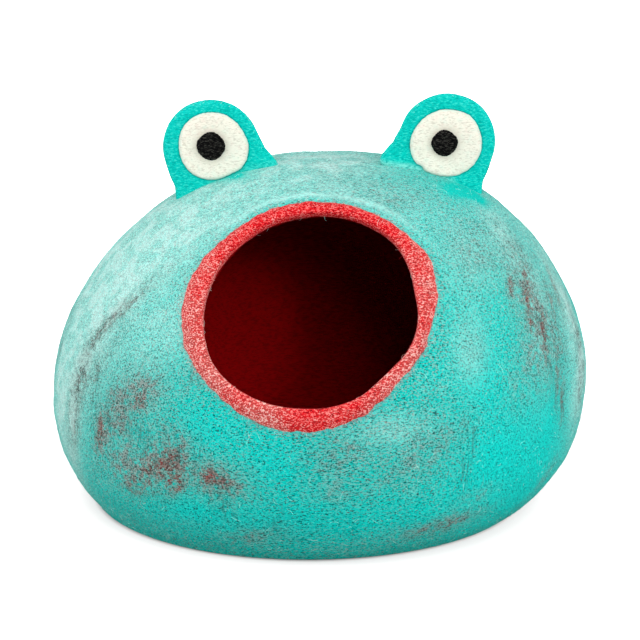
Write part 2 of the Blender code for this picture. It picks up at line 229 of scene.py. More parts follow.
def smooth_profile(steps):
    """The profile with steps to each stretch: rows of height, radius and lean."""
    first, last = PROFILE[0], PROFILE[-1]
    flat = (first[0], 2 * first[1] - PROFILE[1][1] - BASE_EDGE_RUN, first[2])
    mirrored = (PROFILE[-2][0], -PROFILE[-2][1], last[2])
    rows = (flat,) + PROFILE + (mirrored,)
    smooth = []
    for i in range(1, len(rows) - 2):
        for step in range(steps):
            smooth.append(tuple(catmull(*(row[c] for row in rows[i - 1:i + 3]), step / steps)
                                for c in range(3)))
    return smooth + [last]


FINE_PROFILE = smooth_profile(12)


def read_profile(height):
    """Radius and lean at a height."""
    height = min(max(height, 0.0), FINE_PROFILE[-1][0])
    for low, high in zip(FINE_PROFILE, FINE_PROFILE[1:]):
        if height <= high[0] and high[0] > low[0]:
            share = max(0.0, (height - low[0]) / (high[0] - low[0]))
            return (low[1] + (high[1] - low[1]) * share, low[2] + (high[2] - low[2]) * share)
    return FINE_PROFILE[-1][1:]


def from_mouth(point):
    """A point's angle round the mouth's axis, its distance from it, and its height there."""
    local = MOUTH_INVERSE @ point
    return atan2(local.y, local.x), hypot(local.x, local.y), local.z


def binding_edge(angle):
    """Where the binding ends on the outside, without its waver."""
    return read_round(MOUTH_EDGE, angle, 1) + read_round(MOUTH_EDGE, angle, 2)


def brow(point):
    """How far the ridge and the hollow above the mouth move a point outward."""
    angle, reach, _ = from_mouth(point)
    away = reach - binding_edge(angle)
    return max(0.0, sin(angle)) * sum(out * exp(-((away - middle) / width) ** 2)
                                      for middle, width, out in BROW)


def form_radius(height, angle):
    """The outer form's radius, with its dents and its brow."""
    radius, lean = read_profile(height)
    dents = 0.0
    for place, level, width, tall, out in DENTS:
        across = remainder(angle - radians(place), 2 * pi) * radius
        dents += out * exp(-(across / width) ** 2 - ((height - level) / tall) ** 2)
    if sin(angle) > 0:
        return radius + dents
    point = Vector((lean + radius * cos(angle), DEPTH_RATIO * radius * sin(angle), height))
    return radius + dents + brow(point)


def inside_form(point):
    """Whether a point lies within the outer form."""
    if not 0.0 < point.z < PROFILE[-1][0]:
        return False
    lean = read_profile(point.z)[1]
    x, y = point.x - lean, point.y / DEPTH_RATIO
    return hypot(x, y) < form_radius(point.z, atan2(y, x))


def form_point(angle, radius, halvings=18):
    """Where a line along the mouth's axis meets the outer form."""
    foot = MOUTH_FRAME @ Vector((radius * cos(angle), radius * sin(angle), 0))
    inner, outer = SKIN_RANGE
    for _ in range(halvings):
        middle = (outer + inner) / 2
        if inside_form(foot + MOUTH_AXIS * middle):
            inner = middle
        else:
            outer = middle
    return foot + MOUTH_AXIS * inner


def patch(rows, angle, height, radius):
    """How much of a table's patches lies at a place of the vessel."""
    total = 0.0
    for place, *sizes, turn, most in rows:
        level, length, width = (size / 1000 for size in sizes)
        across = remainder(angle - radians(place), 2 * pi) * radius
        up = height - level
        if max(abs(across), abs(up)) > 3 * length:
            continue
        c, s = cos(radians(turn)), sin(radians(turn))
        along, aside = across * c + up * s, up * c - across * s
        total += most * exp(-(along / length) ** 2 - (aside / width) ** 2)
    return min(1.0, total)


def crease(angle, height, radius):
    """Depth of the creases at a place, and how much of a crease it is."""
    depth = share = 0.0
    for start, low, end, high, *sizes in CREASES:
        low, high, width, deep = (size / 1000 for size in (low, high, *sizes))
        across = remainder(angle - radians(start), 2 * pi) * radius
        end = remainder(radians(end - start), 2 * pi) * radius
        up, rise = height - low, high - low
        if abs(across) > CREASE_REACH[0] or abs(up) > CREASE_REACH[1]:
            continue
        along = (across * end + up * rise) / (end ** 2 + rise ** 2)
        aside = abs(across * rise - up * end) / hypot(end, rise)
        here = max(0.0, 1 - (2 * along - 1) ** 2) * exp(-(aside / width) ** 2)
        depth += deep * here
        share += here
    return depth, min(1.0, share)


def linear(hexa):
    """An sRGB hex colour as linear RGBA."""
    parts = [int(hexa[i:i + 2], 16) / 255 for i in (1, 3, 5)]
    return tuple(p / 12.92 if p <= 0.04045 else ((p + 0.055) / 1.055) ** 2.4
                 for p in parts) + (1.0,)


def add_node(material, kind, settings, output=0):
    """Add a node and return one of its outputs. A setting is the node's own value, or a
    socket's number, hex colour or source."""
    node = material.node_tree.nodes.new("ShaderNode" + kind)
    for key, value in settings.items():
        if isinstance(key, str) and key not in node.inputs:
            setattr(node, key, value)
        elif isinstance(value, bpy.types.NodeSocket):
            material.node_tree.links.new(value, node.inputs[key])
        else:
            node.inputs[key].default_value = linear(value) if isinstance(value, str) else value
    return node.outputs[output]


def new_felt(name, sheen, tint, roughness=0.95):
    """A wool felt's material: matt, with a pale edge from the fibres that stand off it."""
    material = bpy.data.materials.new(name)
    material.use_nodes = True
    shader = material.node_tree.nodes["Principled BSDF"]
    for key, value in (("Roughness", roughness), ("Specular IOR Level", 0.05),
                       ("Sheen Weight", sheen), ("Sheen Roughness", 0.5),
                       ("Sheen Tint", linear(tint))):
        shader.inputs[key].default_value = value
    return material


def surface(material, colour, height=None, strength=0.5, depth=0.0012):
    """Give a material its colour, and its fibres' relief."""
    shader = material.node_tree.nodes["Principled BSDF"]
    material.node_tree.links.new(colour, shader.inputs["Base Color"])
    if height is not None:
        relief = add_node(material, "Bump",
                          {"Height": height, "Strength": strength, "Distance": depth})
        material.node_tree.links.new(relief, shader.inputs["Normal"])


# Matted fibres lie in several directions. Wool is 0.03 mm thick, too fine to show here, so a
# stroke is drawn 1.1 mm across and 3.4 mm long
STROKE_TURNS = ((0, 0, 0), (60, 20, 35), (-50, 65, 80), (15, -40, -50))


def strokes(material, coords, seed, across=0.0011, along=0.0034):
    """Crossing strokes, the light ones on top, mostly from 0.4 to 0.8."""
    top = None
    for x, y, z in STROKE_TURNS:
        turned = add_node(material, "Mapping", {
            "Rotation": (radians(x + seed * 7), radians(y + seed * 11), radians(z + seed * 5)),
            "Scale": (1 / along, 1 / across, 1 / across), "Vector": coords})
        field = add_node(material, "TexNoise",
                         {"Scale": 1.0, "Detail": 1.0, "Roughness": 0.5, "Vector": turned})
        top = field if top is None else \
            add_node(material, "Math", {"operation": "MAXIMUM", 0: top, 1: field})
    return top


def total(material, *parts, start=0.0):
    """The sum of some (output, factor) parts and a starting number."""
    for source, factor in parts:
        start = add_node(material, "Math", {"operation": "MULTIPLY_ADD", 0: source, 1: factor,
                                            2: start})
    return start


def felt_grain(material, coords, fibres):
    """The finest light and dark of felt: its fibres with the specks between them, 1.3 mm."""
    grit = add_node(material, "TexNoise",
                    {"Scale": 1 / 0.0013, "Roughness": 0.6, "Vector": coords})
    return total(material, (fibres, 0.6), (grit, 0.4))


def amount(material, *parts):
    """The product of some parts, from 0 to 1. A part is an output, a number, or an output with
    two values it is read between, and the amounts it gives there, if they aren't 0 and 1."""
    product = None
    for part in parts:
        if isinstance(part, tuple):
            source, start, end, least, most = part + (0.0, 1.0) * (len(part) == 3)
            part = add_node(material, "MapRange", {"Value": source, "From Min": start,
                                                   "From Max": end, "To Min": least,
                                                   "To Max": most})
        product = part if product is None else \
            add_node(material, "Math", {"operation": "MULTIPLY", "use_clamp": True,
                                        0: product, 1: part})
    return product


def lay_wool(material, colour, *coats):
    """Lay coats of wool on a colour: each is its colour and the parts of its amount."""
    for wool, *parts in coats:
        colour = add_node(material, "Mix", {"data_type": "RGBA", 0: amount(material, *parts),
                                            6: colour, 7: wool}, 2)
    return colour


# The operators leave the order of points, edges and faces to chance, and the loose fibres are
# drawn by it, so all are sorted along this
SORT_AXIS = Vector((1.0, 7.3, 53.1))


def finish_piece(name, bm, materials, replaces=()):
    """Make a bmesh a piece of the cave, at the origin, riding on its one body."""
    bm.verts.sort(key=lambda vert: vert.co.dot(SORT_AXIS))
    bm.edges.sort(key=lambda edge: (edge.verts[0].co + edge.verts[1].co).dot(SORT_AXIS))
    bm.faces.sort(key=lambda face: face.calc_center_median().dot(SORT_AXIS))
    mesh = bpy.data.meshes.new(name)
    bm.to_mesh(mesh)
    bm.free()
    mesh.shade_smooth()
    for material in materials:
        mesh.materials.append(material)
    piece = bpy.data.objects.new(name, mesh)
    scene.collection.objects.link(piece)
    if replaces:
        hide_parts(*replaces)
    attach(piece, "root")
    return piece


def waver(angle, waves, mirror=1):
    """How far an outline made by hand strays, from rows of waves round it, seed and height."""
    return sum(noise.noise(Vector((count * cos(angle), count * sin(angle), seed * mirror))) * tall
               for count, seed, tall in waves)


def binding_width(angle):
    """The binding's width on the outside, torn by hand, so its edge wavers."""
    return read_round(MOUTH_EDGE, angle, 2) + waver(angle, BINDING_WAVER)


def spun(section, axis, steps):
    """A bmesh of a section of places from the axis outward, spun once round."""
    bm = bmesh.new()
    verts = [bm.verts.new(place) for place in section]
    edges = [bm.edges.new(pair) for pair in zip(verts, verts[1:])]
    bmesh.ops.spin(bm, geom=verts + edges, cent=(0, 0, 0), axis=axis, angle=2 * pi,
                   steps=steps, use_merge=True)
    return bm


# The open skin: its profile is spun, then every point goes out to the form
base_radius = PROFILE[0][1]
section = [(share * base_radius, 0, 0) for share in BASE_RINGS]
section += [(radius, 0, height) for height, radius, lean in smooth_profile(PROFILE_STEPS)]
bm = spun(section, (0, 0, 1), AROUND)
bmesh.ops.remove_doubles(bm, verts=bm.verts, dist=MERGE)
WOOLS = {"rust": RUST, "grey": GREY, "pale_wool_and_sheen": PALE_WOOL_AND_SHEEN, "rich": RICH, "vivid": VIVID}
LAYERS = (*WOOLS, "crease", "blush", "ridge")
layers = {key: bm.verts.layers.float.new(key) for key in LAYERS}
for vert in bm.verts:
    height = vert.co.z
    radius, lean = read_profile(height)
    share = hypot(vert.co.x, vert.co.y) / radius if radius else 0.0
    angle = atan2(vert.co.y, vert.co.x)
    turns = angle % (2 * pi)
    for key, rows in WOOLS.items():
        vert[layers[key]] = patch(rows, turns, height, radius)
    depth, vert[layers["crease"]] = crease(turns, height, radius)
    shaped = share * form_radius(height, angle)
    vert.co.x = lean + shaped * cos(angle)
    vert.co.y = DEPTH_RATIO * shaped * sin(angle)
    around, reach, front = from_mouth(vert.co)
    if front > MOUTH_BACK:
        edge = read_round(MOUTH_EDGE, around, 1) + binding_width(around)
        away = reach - edge
        vert[layers["blush"]] = exp(-(max(0.0, away) / BLUSH_WIDTH) ** 2)
        # over the mouth a painted highlight on the brow's ridge, with deeper turquoise painted as
        # shade between it and the binding
        upper = max(0.0, sin(around)) ** 3
        vert[layers["ridge"]] = upper * exp(-((away - RIDGE_HIGHLIGHT[0]) / RIDGE_HIGHLIGHT[1]) ** 2)
        shaded_band = upper * exp(-((away - SHADED_BAND[0]) / SHADED_BAND[1]) ** 2)
        vert[layers["rich"]] = max(vert[layers["rich"]], 0.8 * shaded_band)
        vert[layers["pale_wool_and_sheen"]] *= 1 - 0.7 * shaded_band
    quiet = min(1.0, height / QUIET) if share > 0.999 else 0.0
    if quiet:
        lumps = sum(noise.noise(vert.co / wave + LUMPS_SEED) * tall for wave, tall in LUMPS)
        away = hypot(vert.co.x - lean, vert.co.y) or 1.0
        # out along the belly's slope, near enough to its normal
        slope = Vector(((vert.co.x - lean) / away, vert.co.y / away,
                        max(0.0, height - BELLY) / BELLY)).normalized()
        vert.co += slope * (lumps - depth) * quiet

# The mouth is cut out, and its edge is drawn to the cut under the binding
holed = []
for face in bm.faces:
    angle, reach, front = from_mouth(face.calc_center_median())
    if front > MOUTH_BACK and reach < read_round(MOUTH_EDGE, angle, 1) + BINDING_INSET:
        holed.append(face)
bmesh.ops.delete(bm, geom=holed, context="FACES")
for vert in [vert for vert in bm.verts if vert.is_boundary]:
    angle = from_mouth(vert.co)[0]
    vert.co = form_point(angle, read_round(MOUTH_EDGE, angle, 1) + BINDING_INSET)
bmesh.ops.recalc_face_normals(bm, faces=bm.faces)

# Wool felt, turquoise, wet-felted by hand: matt and fibrous, paler where undyed wool shows in
# it and where sheen is painted on the top and the left side, brown-grey where the red lining's
# fibres came through, with a soft pale edge, painted shade in the fold lines and a painted
# highlight along the ridge over the mouth
outside = new_felt("wet_felted_turquoise_wool", 0.03, "#60ece4")
coords = add_node(outside, "TexCoord", {}, "Object")
grain = felt_grain(outside, coords, strokes(outside, coords, 0))
threads = strokes(outside, coords, 3, 0.0013, 0.0042)
others = strokes(outside, coords, 8, 0.0010, 0.0040)
# clouds 20 mm across, and a mottle of 5 mm
clouds = add_node(outside, "TexNoise", {"Scale": 1 / 0.020, "Detail": 4.0, "Roughness": 0.6,
                                        "Vector": coords})
mottle = add_node(outside, "TexNoise", {"Scale": 1 / 0.0050, "Detail": 3.0, "Roughness": 0.6,
                                        "Vector": coords})
rust, grey, pale_wool_and_sheen, rich, vivid, creased, blush, ridge = (
    add_node(outside, "Attribute", {"attribute_name": key}, "Fac") for key in LAYERS)
pale_wool_and_sheen = amount(outside, pale_wool_and_sheen, (clouds, 0.60, 0.42, 0.60, 1.08))
grey = amount(outside, grey, (clouds, 0.42, 0.58, 0.62, 1.27))
# pale fibres: a few everywhere, more where undyed wool was laid and where sheen is painted, fewer
# where it is rich
light = total(outside, (pale_wool_and_sheen, 0.9), (amount(outside, (clouds, 0.48, 0.75)), 0.30),
              (rich, -0.25))
# the lining's fibres are grey, or red where the mottle is strong
torn = total(outside, (clouds, 1.0), (mottle, 1.0))
red = amount(outside, (mottle, 0.48, 0.62))
dark_rust = lay_wool(outside, "#3a302e", ("#4a1a1e", red))
light_rust = lay_wool(outside, "#8e827a", ("#9a5450", red))
# the folds are 2.6 mm wide and run up and down, pressed in and painted dark as shade
upright = add_node(outside, "Mapping", {"Scale": (380, 380, 30), "Vector": coords})
folds = add_node(outside, "TexNoise", {"Scale": 1.0, "Detail": 2.0, "Roughness": 0.6,
                                       "Vector": upright})
fold_and_shade = amount(outside, creased, (folds, 0.50, 0.59))
body = lay_wool(
    outside, "#06c0b6",
    ("#00cec4", rich),
    ("#024644", (grain, 0.56, 0.46)),
    ("#c4f4ec", (light, 0.0, 1.0), (grain, 0.55, 0.62)),
    # pale undyed wool and painted sheen, near white where the painted sheen is strongest
    ("#b8dcd6", pale_wool_and_sheen, (grain, 0.45, 0.60, 0.32, 0.68)),
    ("#e8f6f4", (pale_wool_and_sheen, 0.70, 1.00, 0.0, 0.17)),
    ("#2ce6da", (grain, 0.60, 0.66, 0.0, 0.45)),
    # single grey fibres all over, fewer where the turquoise is rich
    ("#a89f96", (others, 0.635, 0.69), (rich, 0.0, 1.0, 0.54, 0.06)),
    # brown-grey and rust fibres from the lining, in torn patches
    (lay_wool(outside, "#2a4440", ("#909f9a", (grain, 0.50, 0.61))),
     grey, (mottle, 0.30, 0.62), (threads, 0.50, 0.61, 0.62, 1.62)),
    (lay_wool(outside, dark_rust, (light_rust, (grain, 0.50, 0.62))),
     rust, (torn, 0.70, 1.05), (threads, 0.51, 0.60, 0.42, 1.42)),
    # red that crept out of the binding, and the painted highlight along the ridge over it
    ("#b58580", blush, (threads, 0.52, 0.62, 0.0, 0.65)),
    ("#bcebe4", ridge, 0.55),
    # the flaps' wool
    (lay_wool(outside, "#06aaa0", ("#08cabe", (grain, 0.48, 0.60))),
     vivid, (threads, 0.48, 0.58, 0.5, 1.5)),
    # painted shade along the fold lines
    ("#34504e", fold_and_shade, 0.58),
)
surface(outside, body, total(outside, (grain, 1.0), (mottle, 0.3), (fold_and_shade, -0.8)), 0.6)

# Wool felt, red, the vessel's lining: the same wall seen from inside, deep red in its own shade
lining = new_felt("wet_felted_red_wool_lining", 0.0, "#ff9090")
fibres = strokes(lining, add_node(lining, "TexCoord", {}, "Object"), 1, 0.0016, 0.0070)
surface(lining, lay_wool(lining, "#6c0001", ("#8c0003", (fibres, 0.50, 0.66))), fibres)

vessel = finish_piece("vessel", bm, (outside, lining), ("cave_shell",))
wall = vessel.modifiers.new("wall", "SOLIDIFY")
wall.thickness = WALL
wall.offset = -1
wall.material_offset = 1
wall.material_offset_rim = 1

# ------------------------------------------------------------ the mouth binding
# A strip of red wool felt folded over the cut edge and felted on, so both its edges thin out
# into the wall. It was torn by hand and is wider at some places.

BINDING_STEPS = 288
BINDING_SECTION = (
    # share of the width, further inward, wall face (0 outer, 1 inner), lift off that face
    (1.03, 0.0000, 0, 0.0000),
    (1.00, 0.0000, 0, 0.0007),
    (0.96, 0.0000, 0, 0.0014),
    (0.88, 0.0000, 0, 0.0022),
    (0.75, 0.0000, 0, 0.0029),
    (0.60, 0.0000, 0, 0.0034),
    (0.45, 0.0000, 0, 0.0036),
    (0.30, 0.0000, 0, 0.0036),
    (0.16, 0.0000, 0, 0.0032),
    (0.05, 0.0006, 0, 0.0024),
    (0.00, 0.0018, 0, 0.0012),
    (0.00, 0.0027, 0, -0.0003),
    (0.00, 0.0032, 0, -0.0020),
    (0.00, 0.0032, 1, 0.0024),
    (0.00, 0.0030, 1, 0.0006),
    (0.00, 0.0024, 1, -0.0016),
    (0.00, 0.0012, 1, -0.0030),
    (0.00, -0.0010, 1, -0.0038),
    (0.00, -0.0050, 1, -0.0038),
    (0.00, -0.0085, 1, -0.0026),
    (0.00, -0.0096, 1, -0.0004),
    (0.00, -0.0085, 1, 0.0008),
    (0.00, 0.0004, 1, 0.0010),
    (0.00, 0.0004, 0, -0.0010),
)
ROW_STEP = 0.01           # tells a ring's row while the strip is spun
SIDE_STEP = 0.004         # how far apart the wall's slope is read
RUB = (
    # wavelength and height of the rubbed face's unevenness
    (0.012, 0.0007),
    (0.005, 0.0004),
)
# Where the red lies thin and paler wool stands in it
THIN = (
    # angle round the mouth, amount
    (0, 0.45), (25, 0.50), (50, 0.05), (90, 0.00), (130, 0.00), (160, 0.45), (190, 0.80),
    (205, 0.90), (216, 1.00), (235, 0.50), (252, 1.00), (266, 0.05), (287, 0.12), (310, 0.50),
    (335, 0.70),
)

bm = spun([(1 + ROW_STEP * row, 0, 0) for row in range(len(BINDING_SECTION))], (0, 0, 1),
          BINDING_STEPS)
bmesh.ops.bridge_loops(bm, edges=[edge for edge in bm.edges if edge.is_boundary])
share_layer = bm.verts.layers.float.new("width_share")
thin_layer = bm.verts.layers.float.new("thin")
wall_depths = {}
for vert in bm.verts:
    row = round((hypot(vert.co.x, vert.co.y) - 1) / ROW_STEP)
    angle = atan2(vert.co.y, vert.co.x)
    share, inward, face, lift = BINDING_SECTION[row]
    radius = (read_round(MOUTH_EDGE, angle, 1) + BINDING_INSET
              + share * binding_width(angle) - inward)
    place = form_point(angle, radius, 14)
    depth = 0.0
    if face:
        key = round(angle, 4)
        if key not in wall_depths:
            out = form_point(angle, radius + SIDE_STEP, 14) - place
            side = form_point(angle + SIDE_STEP / radius, radius, 14) - place
            wall_depths[key] = WALL / abs(out.cross(side).normalized().dot(MOUTH_AXIS))
        depth = wall_depths[key]
    vert.co = place + MOUTH_AXIS * (lift - depth)
    if share or inward > 0.001:
        vert.co += MOUTH_AXIS * sum(noise.noise(vert.co / wave) * tall for wave, tall in RUB)
    vert[share_layer] = share if not face else 0.0
    vert[thin_layer] = read_round(THIN, angle, 1)
bmesh.ops.recalc_face_normals(bm, faces=bm.faces)

# Wool felt, red, rubbed round the edge by hand: pink and grey fibres stand in it, more at the
# places where it is thin
red_felt = new_felt("hand_felted_red_wool", 0.05, "#ffd0c8")
coords = add_node(red_felt, "TexCoord", {}, "Object")
fibres = strokes(red_felt, coords, 2)
grain = felt_grain(red_felt, coords, fibres)
# patches 12 mm across, more of them out at the torn edge
clouds = add_node(red_felt, "TexNoise", {"Scale": 1 / 0.012, "Detail": 3.0, "Roughness": 0.6,
                                         "Vector": coords})
share, thin = (add_node(red_felt, "Attribute", {"attribute_name": key}, "Fac")
               for key in ("width_share", "thin"))
thin = total(red_felt, (share, 0.20), (thin, 1.0), (clouds, 1.8), start=-1.02)
surface(red_felt, lay_wool(
    red_felt, "#7a0b13",
    ("#dc121d", (grain, 0.45, 0.55)),
    ("#f4d0c8", (grain, 0.583, 0.615), (thin, 0.0, 1.0, 0.28, 1.23)),
    ("#a8786f", (thin, 0.0, 1.0, 0.0, 0.30)),
), fibres, 0.8, 0.0014)

binding = finish_piece("binding", bm, (red_felt,), ("mouth_binding",))

# ----------------------------------------------------------------- the eye flaps
# Two upright flaps of even turquoise wool felt. Each was made as a flat disc with a loose
# skirt, and the skirt was felted into the dome, so the foot spreads where it meets it.

FLAP_THICKNESS = 0.007
FLAP_HEAD = 0.0441        # radius of a flap's round head
FLAP_PLANE = -0.016       # y of the middle of the flaps
DOME_TOP = PROFILE[-1][0]
SEAT = 0.0004             # gap under a disc
FLAP_WAVE = (0.016, 0.10)     # unevenness of a flap's thickness: wavelength and share
FLAP_STRAY = (0.020, 0.0006)  # and of its outline, with the height
FLAP_SINK = 0.003         # how deep its foot goes into the dome's wool
FOOT = (
    # share by which the foot is thicker, and the height over which that fades
    (0.55, 0.009),
    (0.25, 0.022),
)
FOOT_WOOL = (0.0015, 0.0025)  # the dome's wool reaches up a foot so far, and fades over this
FLAP_OUTLINE = (
    # angle (0 is +X, 90 up), radius against the head's; the left flap, mirrored for the right
    (0, 1.125), (16, 1.020), (34, 1.010), (90, 1.000), (135, 1.005), (180, 1.000), (207, 1.015),
    (227, 1.120), (235, 1.290), (240, 1.470), (250, 1.360), (262, 1.130), (315, 1.050),
    (333, 1.290), (340, 1.450), (346, 1.430), (352, 1.285),
)
EYES = (
    # side, outline's mirror, flap's x and z, white's x, z and radius, pupil's x, z and radius
    ("left", 1, -0.0999, 0.3345, -0.0971, 0.3362, 0.0314, -0.0995, 0.3367, 0.0129),
    ("right", -1, 0.1163, 0.3400, 0.1150, 0.3388, 0.0321, 0.1136, 0.3396, 0.0120),
)
WHITE_OUTLINE = (
    # angle (0 is +X, 90 up), the left disc's radius against its mean, the right disc's
    (0, 1.013, 1.022), (25, 0.960, 1.022), (50, 0.960, 1.038), (75, 0.985, 0.985),
    (100, 1.000, 0.974), (125, 1.035, 0.960), (150, 1.040, 0.975), (180, 1.010, 1.020),
    (205, 1.020, 1.025), (216, 1.026, 1.000), (223, 1.028, 0.945), (232, 1.026, 0.970),
    (250, 1.005, 0.945), (270, 0.972, 0.935), (300, 0.945, 0.980), (325, 1.020, 1.008),
)
FLAP_SECTION = (
    # share of the outline, share of the thickness; the back, then the rim, then the front
    (0.0, -0.47), (0.12, -0.48), (0.25, -0.48), (0.38, -0.48), (0.50, -0.48), (0.60, -0.49),
    (0.70, -0.50), (0.78, -0.50), (0.85, -0.49), (0.90, -0.46), (0.94, -0.40), (0.97, -0.30),
    (0.99, -0.17), (1.0, 0.0), (0.99, 0.17), (0.97, 0.30), (0.94, 0.40), (0.90, 0.46),
    (0.85, 0.49), (0.78, 0.50), (0.70, 0.50), (0.60, 0.49), (0.50, 0.48), (0.38, 0.48),
    (0.25, 0.48), (0.12, 0.48), (0.0, 0.47),
)


def turned_disc(section, steps):
    """A disc of shares of an outline and a thickness, turned round the y axis."""
    bm = spun([(out, along, 0) for out, along in section], (0, 1, 0), steps)
    bmesh.ops.remove_doubles(bm, verts=bm.verts, dist=MERGE)
    return bm


def dome_height(x, y, start):
    """The dome's height under a place, found from start downwards."""
    height = start
    while height > 0.2 and not inside_form(Vector((x, y, height))):
        height -= 0.001
    return height


def foot_spread(above):
    """How much thicker than itself a flap is at a height over the dome."""
    return sum(share * exp(-(above / fade) ** 2) for share, fade in FOOT)


# Wool felt, one even vivid turquoise, needle-felted firm: a fine nap with a few paler fibres,
# the dome's pale wool drawn up over the foot, and painted shade along the groove at the needled
# white
eye_felt = new_felt("firm_vivid_turquoise_felt", 0.02, "#60ece4")
fibres = strokes(eye_felt, add_node(eye_felt, "TexCoord", {}, "Object"), 4)
foot, from_white = (add_node(eye_felt, "Attribute", {"attribute_name": key}, "Fac")
                    for key in ("foot", "from_white"))
surface(eye_felt, lay_wool(
    eye_felt, "#03a49a",
    ("#03c4b8", (fibres, 0.50, 0.60)),
    ("#58dcd2", (fibres, 0.64, 0.74, 0.0, 0.5)),
    (lay_wool(eye_felt, "#3cb4aa", ("#7cdcd2", (fibres, 0.50, 0.62))),
     foot, (fibres, 0.46, 0.58, 0.55, 1.55)),
    # painted shade: a dark line along the white's edge, where the groove is
    ("#02746c", (from_white, 1.060, 1.005, 0.0, 0.55)),
), fibres, 0.45, 0.001)

for side, mirror, flap_x, flap_z, white_x, white_z, white_radius in [row[:7] for row in EYES]:
    bm = turned_disc(FLAP_SECTION, 128)
    foot_layer = bm.verts.layers.float.new("foot")
    white_layer = bm.verts.layers.float.new("from_white")
    for vert in bm.verts:
        share = hypot(vert.co.x, vert.co.z)
        angle = atan2(vert.co.z, vert.co.x)
        turned = angle if mirror > 0 else pi - angle
        reach = share * FLAP_HEAD * read_round(FLAP_OUTLINE, turned, 1)
        x, y, z = reach * cos(angle), vert.co.y * FLAP_THICKNESS, reach * sin(angle)
        x, z = flap_x + x, flap_z + z
        y *= 1 + FLAP_WAVE[1] * noise.noise(Vector((x, 0, z)) / FLAP_WAVE[0])
        above = z - dome_height(x, FLAP_PLANE + y, min(z, DOME_TOP))
        y *= 1 + foot_spread(above)
        # the inner half of the foot, at the front
        middle = min(1.0, max(0.0, (mirror * (x - flap_x) + 0.010) / 0.014))
        middle *= 0.10 if mirror > 0 else 0.9
        above = max(0.0, above - FOOT_WOOL[0])
        vert[foot_layer] = middle * exp(-(above / FOOT_WOOL[1]) ** 2)
        # 1 along the white's edge at the front, more outside it and at the back
        white_angle = atan2(z - white_z, x - white_x)
        white_edge = white_radius * read_round(WHITE_OUTLINE, white_angle, 1 if mirror > 0 else 2)
        vert[white_layer] = hypot(x - white_x, z - white_z) / white_edge if y < 0 else 2.0
        if z < DOME_TOP:
            z = max(z, dome_height(x, FLAP_PLANE + y, DOME_TOP) - FLAP_SINK)
        vert.co = Vector((x, FLAP_PLANE + y, z))
        wave, tall = FLAP_STRAY
        stray = Vector((noise.noise(vert.co / wave), 0,
                        noise.noise(vert.co / wave + Vector((7, 7, 7)))))
        vert.co += stray * tall * share
    bmesh.ops.recalc_face_normals(bm, faces=bm.faces)
    flap = finish_piece("flap_" + side, bm, (eye_felt,),
                        ("eye_flap_" + side,))

# -------------------------------------------------------- the whites of the eyes
# Discs of undyed wool, needled into the flaps' fronts by hand, so their outline is uneven and
# their middle is a little fuller than their rim.

WHITE_THICKNESS = 0.0025
WHITE_WAVER = ((9, 3, 0.012), (30, 3, 0.008))     # waves, seed and height of its outline
WHITE_DENTS = ((0.006, 0.0003), (0.014, 0.0004))  # wavelength and depth of its dimples
SMUDGE_WIDTH = 0.0030     # how far black fibres stray from the pupil
RIM_SHARE = 0.93          # from here outward the disc is its rim
DISC_SECTION = ((0.0, -1.0), (0.14, -1.0), (0.28, -0.99), (0.42, -0.98), (0.56, -0.96),
                (0.68, -0.93), (0.78, -0.87), (0.86, -0.78), (0.92, -0.65), (0.965, -0.47),
                (0.99, -0.27), (1.0, -0.10), (0.985, 0.06), (0.90, 0.10), (0.0, 0.10))

# Undyed wool, needled: warm white with dimples and a few fibres tinted by what lay beside it
white_felt = new_felt("needled_undyed_wool", 0.05, "#fffaf0")
coords = add_node(white_felt, "TexCoord", {}, "Object")
fibres = strokes(white_felt, coords, 5)
dimples = add_node(white_felt, "TexNoise", {"Scale": 1 / 0.005, "Roughness": 0.6,
                                            "Vector": coords})
smudge, rim = (add_node(white_felt, "Attribute", {"attribute_name": key}, "Fac")
               for key in ("smudge", "rim"))
surface(white_felt, lay_wool(
    white_felt, "#d2ccbc",
    ("#ece8da", (fibres, 0.48, 0.60)),
    ("#cfe4d6", (dimples, 0.56, 0.70, 0.0, 0.25)),
    ("#e8cfc4", (dimples, 0.44, 0.30, 0.0, 0.25)),
    # black and turquoise fibres dragged in beside the pupil and at the rim
    ("#a39d86", smudge, (fibres, 0.50, 0.66, 0.0, 0.50)),
    ("#8fd0c4", rim, (fibres, 0.50, 0.62, 0.0, 0.60)),
), total(white_felt, (fibres, 1.0), (dimples, 0.9)))

